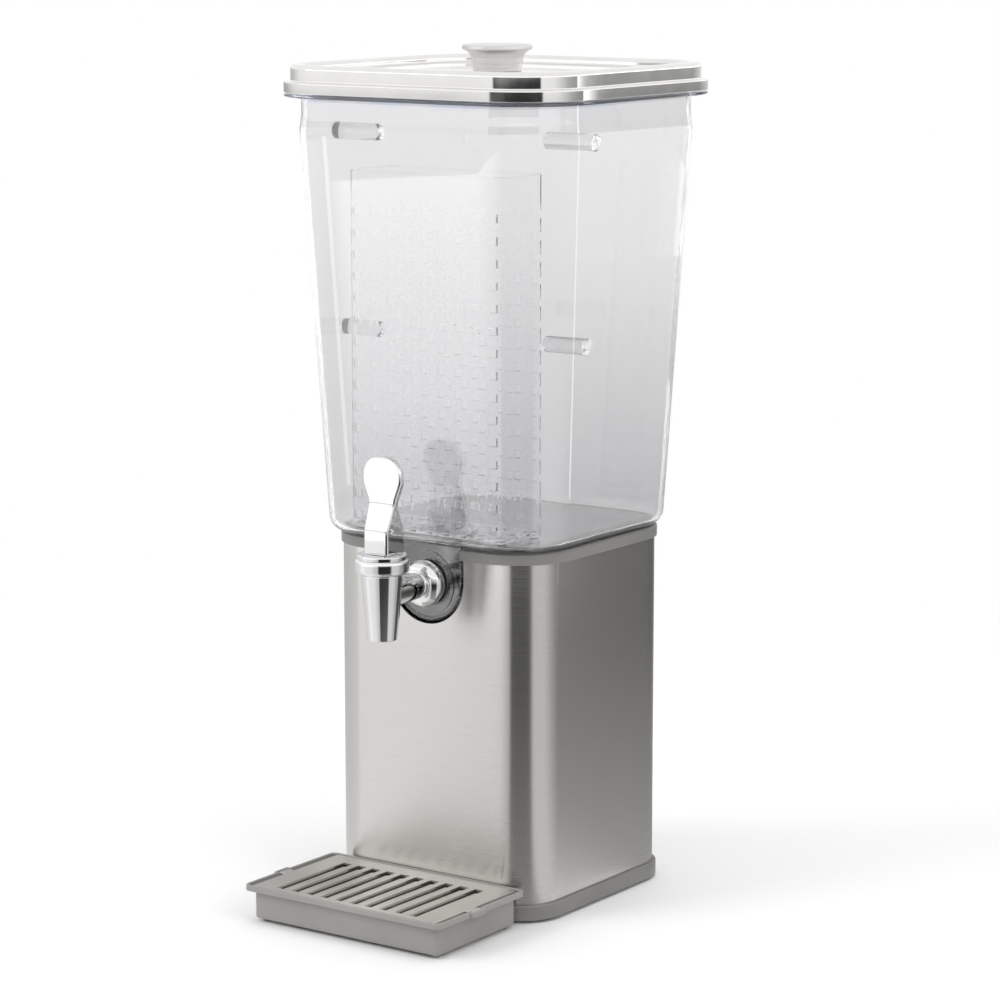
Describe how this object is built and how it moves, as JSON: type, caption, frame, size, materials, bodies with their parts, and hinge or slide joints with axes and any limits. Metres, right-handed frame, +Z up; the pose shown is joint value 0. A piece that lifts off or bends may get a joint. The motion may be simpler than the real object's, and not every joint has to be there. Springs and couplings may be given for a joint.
{
  "type": "infusion beverage dispenser",
  "caption": "Countertop drink dispenser: clear tapered container with a perforated infuser box, lid with knob, steel base, lever tap and drip tray.",
  "frame": {"origin": "on the table, at the centre of the ground the whole part covers (its box's bottom centre)", "axes": "+Z up, -Y towards the front where the tap and drip tray are, +X to the right seen from the front"},
  "size_m": [0.227, 0.2886, 0.5663],
  "materials": {
    "brushed_shell": "horizontally brushed stainless sheet, semi-gloss",
    "grey_plastic": "warm grey moulded plastic, fine texture",
    "tray_plastic": "warm grey moulded plastic, satin",
    "grid_steel": "stamped stainless sheet, satin",
    "foot_rubber": "soft matt rubber",
    "fastener_steel": "plain stainless",
    "clear_container": "clear moulded plastic, polished",
    "clear_infuser": "clear moulded plastic, polished",
    "polished_lid": "polished stainless sheet",
    "seal_rubber": "grey silicone",
    "knob_metal": "satin turned metal",
    "tap_chrome": "bright plated metal",
    "tap_fitting": "plain machined steel",
    "cup_silicone": "white silicone"
  },
  "bodies": {
    "base": {"base_shell": "brushed_shell", "base_plinth": "grey_plastic", "base_collar": "grey_plastic", "base_foot_1": "foot_rubber", "base_foot_2": "foot_rubber", "base_foot_3": "foot_rubber", "base_foot_4": "foot_rubber", "base_screws": "fastener_steel"},
    "container": {"container": "clear_container", "tap_body": "tap_chrome", "tap_bonnet": "tap_chrome", "tap_cap": "tap_chrome", "tap_outer_seal": "seal_rubber", "tap_inner_seal": "seal_rubber", "tap_nut": "tap_fitting"},
    "lever": {"tap_lever": "tap_chrome"},
    "stem": {"tap_stem": "tap_fitting", "tap_pin": "fastener_steel", "tap_cup": "cup_silicone"},
    "infuser": {"infuser": "clear_infuser"},
    "lid": {"lid": "polished_lid", "lid_seal": "seal_rubber", "lid_knob": "knob_metal", "lid_knob_washer": "fastener_steel", "lid_knob_screw": "fastener_steel"},
    "tray": {"drip_tray": "tray_plastic"},
    "grid": {"drip_grid": "grid_steel"}
  },
  "joints": [
    {"name": "container_lift", "type": "slide", "parent": "base", "child": "container", "axis": [0, 0, 1], "range_m": [0, 0.09]},
    {"name": "lever_tilt", "type": "hinge", "parent": "container", "child": "lever", "pos_m": [0, -0.10395, 0.2468], "axis": [1, 0, 0], "range_deg": [0, 25], "stiffness_Nm_per_rad": 0.5},
    {"name": "stem_rise", "type": "slide", "parent": "container", "child": "stem", "axis": [0, 0, 1], "range_m": [0, 0.004]},
    {"name": "lid_lift", "type": "slide", "parent": "container", "child": "lid", "axis": [0, 0, 1], "range_m": [0, 0.4]},
    {"name": "infuser_lift", "type": "slide", "parent": "container", "child": "infuser", "axis": [0, 0, 1], "range_m": [0, 0.304]},
    {"name": "tray_slide", "type": "slide", "parent": "base", "child": "tray", "axis": [0, -1, 0], "range_m": [0, 0.12]},
    {"name": "grid_lift", "type": "slide", "parent": "tray", "child": "grid", "axis": [0, 0, 1], "range_m": [0, 0.06]}
  ],
  "couplings": [
    {"joint": "stem_rise", "follows": "lever_tilt", "m_per_rad": 0.0086},
    {"joint": "infuser_lift", "follows": "lid_lift", "ratio": 0.76}
  ]
}
